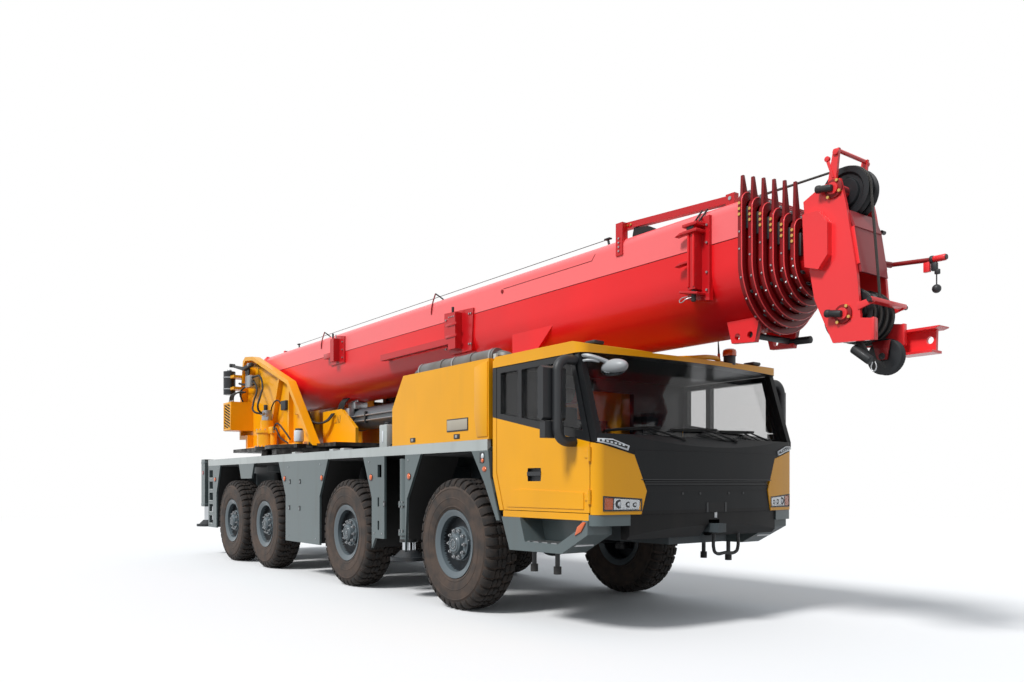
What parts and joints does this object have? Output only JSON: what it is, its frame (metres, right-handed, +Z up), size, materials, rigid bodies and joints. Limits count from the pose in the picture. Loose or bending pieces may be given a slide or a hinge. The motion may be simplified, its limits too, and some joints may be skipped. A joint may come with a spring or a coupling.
{
  "type": "mobile crane",
  "caption": "All-terrain mobile crane on a road carrier: telescopic boom over the cab, lift cylinder, slewing turntable with operator's cab, steered axles and sliding outriggers.",
  "frame": {"origin": "on the ground under the middle of the crane's box", "axes": "+X towards the front of the carrier, +Y to its left, +Z up"},
  "size_m": [13.15, 3.36, 3.906],
  "materials": {
    "boom_red": "gloss",
    "yellow": "gloss",
    "chassis_grey": "satin",
    "frame_grey": "satin",
    "dark_metal": "satin",
    "rim_grey": "satin",
    "tyre": "matte",
    "black_plastic": "matte",
    "glass": "gloss",
    "trim": "matte",
    "engine": "matte",
    "rod": "polished",
    "jack_black": "satin"
  },
  "bodies": {
    "wheel_1l": {"tyre_1l": "tyre", "rim_1l": "rim_grey"},
    "knuckle_1l": {"knuckle_1l": "dark_metal"},
    "wheel_1r": {"tyre_1r": "tyre", "rim_1r": "rim_grey"},
    "knuckle_1r": {"knuckle_1r": "dark_metal"},
    "wheel_2l": {"tyre_2l": "tyre", "rim_2l": "rim_grey"},
    "knuckle_2l": {"knuckle_2l": "dark_metal"},
    "wheel_2r": {"tyre_2r": "tyre", "rim_2r": "rim_grey"},
    "knuckle_2r": {"knuckle_2r": "dark_metal"},
    "wheel_3l": {"tyre_3l": "tyre", "rim_3l": "rim_grey"},
    "knuckle_3l": {"knuckle_3l": "dark_metal"},
    "wheel_3r": {"tyre_3r": "tyre", "rim_3r": "rim_grey"},
    "knuckle_3r": {"knuckle_3r": "dark_metal"},
    "wheel_4l": {"tyre_4l": "tyre", "rim_4l": "rim_grey"},
    "knuckle_4l": {"knuckle_4l": "dark_metal"},
    "wheel_4r": {"tyre_4r": "tyre", "rim_4r": "rim_grey"},
    "knuckle_4r": {"knuckle_4r": "dark_metal"},
    "door_l": {"door_l": "yellow", "door_glass_l": "glass"},
    "door_r": {"door_r": "yellow", "door_glass_r": "glass"},
    "beam_fl": {"outrigger_beam_fl": "frame_grey"},
    "jack_fl": {"jack_fl": "jack_black"},
    "beam_fr": {"outrigger_beam_fr": "frame_grey"},
    "jack_fr": {"jack_fr": "jack_black"},
    "beam_rl": {"outrigger_beam_rl": "frame_grey"},
    "jack_rl": {"jack_rl": "jack_black"},
    "beam_rr": {"outrigger_beam_rr": "frame_grey"},
    "jack_rr": {"jack_rr": "jack_black"},
    "carrier": {"axles": "dark_metal", "chassis_frame": "frame_grey", "slewing_ring": "dark_metal", "deck": "chassis_grey", "engine": "engine", "engine_cover": "yellow", "cab_shell": "yellow", "cab_front": "black_plastic", "cab_glass": "glass", "cab_interior": "trim"},
    "turntable": {"turntable": "yellow", "operator_cab": "yellow", "operator_glass": "glass"},
    "winch_drum": {"winch_drum": "dark_metal"},
    "lift_barrel": {"lift_barrel": "frame_grey"},
    "lift_rod": {"lift_rod": "rod"},
    "boom_base": {"boom_base": "boom_red"},
    "boom_section_2": {"boom_section_2": "boom_red"},
    "boom_section_3": {"boom_section_3": "boom_red"},
    "boom_section_4": {"boom_section_4": "boom_red"},
    "boom_section_5": {"boom_section_5": "boom_red"},
    "boom_section_6": {"boom_section_6": "boom_red"},
    "boom_section_7": {"boom_section_7": "boom_red", "sheaves": "black_plastic"}
  },
  "joints": [
    {"name": "steer_1l", "type": "hinge", "parent": "carrier", "child": "knuckle_1l", "pos_m": [2.325, 1.08, 0.685], "axis": [0, 0, 1], "range_deg": [-32, 32]},
    {"name": "spin_1l", "type": "hinge", "parent": "knuckle_1l", "child": "wheel_1l", "pos_m": [2.325, 1.18, 0.685], "axis": [0, 1, 0], "continuous": true},
    {"name": "steer_1r", "type": "hinge", "parent": "carrier", "child": "knuckle_1r", "pos_m": [2.325, -1.08, 0.685], "axis": [0, 0, 1], "range_deg": [-32, 32]},
    {"name": "spin_1r", "type": "hinge", "parent": "knuckle_1r", "child": "wheel_1r", "pos_m": [2.325, -1.18, 0.685], "axis": [0, 1, 0], "continuous": true},
    {"name": "steer_2l", "type": "hinge", "parent": "carrier", "child": "knuckle_2l", "pos_m": [-0.225, 1.08, 0.685], "axis": [0, 0, 1], "range_deg": [-22, 22]},
    {"name": "spin_2l", "type": "hinge", "parent": "knuckle_2l", "child": "wheel_2l", "pos_m": [-0.225, 1.18, 0.685], "axis": [0, 1, 0], "continuous": true},
    {"name": "steer_2r", "type": "hinge", "parent": "carrier", "child": "knuckle_2r", "pos_m": [-0.225, -1.08, 0.685], "axis": [0, 0, 1], "range_deg": [-22, 22]},
    {"name": "spin_2r", "type": "hinge", "parent": "knuckle_2r", "child": "wheel_2r", "pos_m": [-0.225, -1.18, 0.685], "axis": [0, 1, 0], "continuous": true},
    {"name": "steer_3l", "type": "hinge", "parent": "carrier", "child": "knuckle_3l", "pos_m": [-3.125, 1.08, 0.685], "axis": [0, 0, 1], "range_deg": [-12, 12]},
    {"name": "spin_3l", "type": "hinge", "parent": "knuckle_3l", "child": "wheel_3l", "pos_m": [-3.125, 1.18, 0.685], "axis": [0, 1, 0], "continuous": true},
    {"name": "steer_3r", "type": "hinge", "parent": "carrier", "child": "knuckle_3r", "pos_m": [-3.125, -1.08, 0.685], "axis": [0, 0, 1], "range_deg": [-12, 12]},
    {"name": "spin_3r", "type": "hinge", "parent": "knuckle_3r", "child": "wheel_3r", "pos_m": [-3.125, -1.18, 0.685], "axis": [0, 1, 0], "continuous": true},
    {"name": "steer_4l", "type": "hinge", "parent": "carrier", "child": "knuckle_4l", "pos_m": [-4.675, 1.08, 0.685], "axis": [0, 0, 1], "range_deg": [-24, 24]},
    {"name": "spin_4l", "type": "hinge", "parent": "knuckle_4l", "child": "wheel_4l", "pos_m": [-4.675, 1.18, 0.685], "axis": [0, 1, 0], "continuous": true},
    {"name": "steer_4r", "type": "hinge", "parent": "carrier", "child": "knuckle_4r", "pos_m": [-4.675, -1.08, 0.685], "axis": [0, 0, 1], "range_deg": [-24, 24]},
    {"name": "spin_4r", "type": "hinge", "parent": "knuckle_4r", "child": "wheel_4r", "pos_m": [-4.675, -1.18, 0.685], "axis": [0, 1, 0], "continuous": true},
    {"name": "door_l_hinge", "type": "hinge", "parent": "carrier", "child": "door_l", "pos_m": [4.449, 1.368, 1.38], "axis": [0, 0, -1], "range_deg": [0, 70]},
    {"name": "door_r_hinge", "type": "hinge", "parent": "carrier", "child": "door_r", "pos_m": [4.449, -1.368, 1.38], "axis": [0, 0, 1], "range_deg": [0, 70]},
    {"name": "beam_fl_slide", "type": "slide", "parent": "carrier", "child": "beam_fl", "axis": [0, 1, 0], "range_m": [0, 1.85]},
    {"name": "jack_fl_slide", "type": "slide", "parent": "beam_fl", "child": "jack_fl", "axis": [0, 0, -1], "range_m": [0, 0.6]},
    {"name": "beam_fr_slide", "type": "slide", "parent": "carrier", "child": "beam_fr", "axis": [0, -1, 0], "range_m": [0, 1.85]},
    {"name": "jack_fr_slide", "type": "slide", "parent": "beam_fr", "child": "jack_fr", "axis": [0, 0, -1], "range_m": [0, 0.6]},
    {"name": "beam_rl_slide", "type": "slide", "parent": "carrier", "child": "beam_rl", "axis": [0, 1, 0], "range_m": [0, 1.85]},
    {"name": "jack_rl_slide", "type": "slide", "parent": "beam_rl", "child": "jack_rl", "axis": [0, 0, -1], "range_m": [0, 0.6]},
    {"name": "beam_rr_slide", "type": "slide", "parent": "carrier", "child": "beam_rr", "axis": [0, -1, 0], "range_m": [0, 1.85]},
    {"name": "jack_rr_slide", "type": "slide", "parent": "beam_rr", "child": "jack_rr", "axis": [0, 0, -1], "range_m": [0, 0.6]},
    {"name": "slew", "type": "hinge", "parent": "carrier", "child": "turntable", "pos_m": [-3.725, 0, 1.9], "axis": [0, 0, 1], "continuous": true},
    {"name": "luff", "type": "hinge", "parent": "turntable", "child": "boom_base", "pos_m": [-5.675, 0, 3.4], "axis": [0, -1, 0], "range_deg": [0, 80]},
    {"name": "lift_pivot", "type": "hinge", "parent": "turntable", "child": "lift_barrel", "pos_m": [-2.825, 0, 2.34], "axis": [0, -1, 0], "range_deg": [0, 92.6]},
    {"name": "lift_slide", "type": "slide", "parent": "lift_barrel", "child": "lift_rod", "axis": [1, 0, 0.0076], "range_m": [0, 3.6255]},
    {"name": "telescope_2", "type": "slide", "parent": "boom_base", "child": "boom_section_2", "axis": [1, 0, 0], "range_m": [0, 8.4]},
    {"name": "telescope_3", "type": "slide", "parent": "boom_section_2", "child": "boom_section_3", "axis": [1, 0, 0], "range_m": [0, 8.4]},
    {"name": "telescope_4", "type": "slide", "parent": "boom_section_3", "child": "boom_section_4", "axis": [1, 0, 0], "range_m": [0, 8.4]},
    {"name": "telescope_5", "type": "slide", "parent": "boom_section_4", "child": "boom_section_5", "axis": [1, 0, 0], "range_m": [0, 8.4]},
    {"name": "telescope_6", "type": "slide", "parent": "boom_section_5", "child": "boom_section_6", "axis": [1, 0, 0], "range_m": [0, 8.4]},
    {"name": "telescope_7", "type": "slide", "parent": "boom_section_6", "child": "boom_section_7", "axis": [1, 0, 0], "range_m": [0, 8.4]},
    {"name": "winch_turn", "type": "hinge", "parent": "turntable", "child": "winch_drum", "pos_m": [-5.915, 0, 2.48], "axis": [0, 1, 0], "continuous": true}
  ],
  "couplings": [
    {"joint": "steer_1r", "follows": "steer_1l", "ratio": 1},
    {"joint": "steer_2l", "follows": "steer_1l", "ratio": 0.6875},
    {"joint": "steer_2r", "follows": "steer_1l", "ratio": 0.6875},
    {"joint": "steer_3l", "follows": "steer_1l", "ratio": -0.375},
    {"joint": "steer_3r", "follows": "steer_1l", "ratio": -0.375},
    {"joint": "steer_4l", "follows": "steer_1l", "ratio": -0.75},
    {"joint": "steer_4r", "follows": "steer_1l", "ratio": -0.75},
    {"joint": "lift_pivot", "follows": "luff", "ratio": 1.155},
    {"joint": "lift_slide", "follows": "luff", "m_per_rad": 2.593},
    {"joint": "telescope_3", "follows": "telescope_2", "ratio": 1},
    {"joint": "telescope_4", "follows": "telescope_2", "ratio": 1},
    {"joint": "telescope_5", "follows": "telescope_2", "ratio": 1},
    {"joint": "telescope_6", "follows": "telescope_2", "ratio": 1},
    {"joint": "telescope_7", "follows": "telescope_2", "ratio": 1}
  ]
}
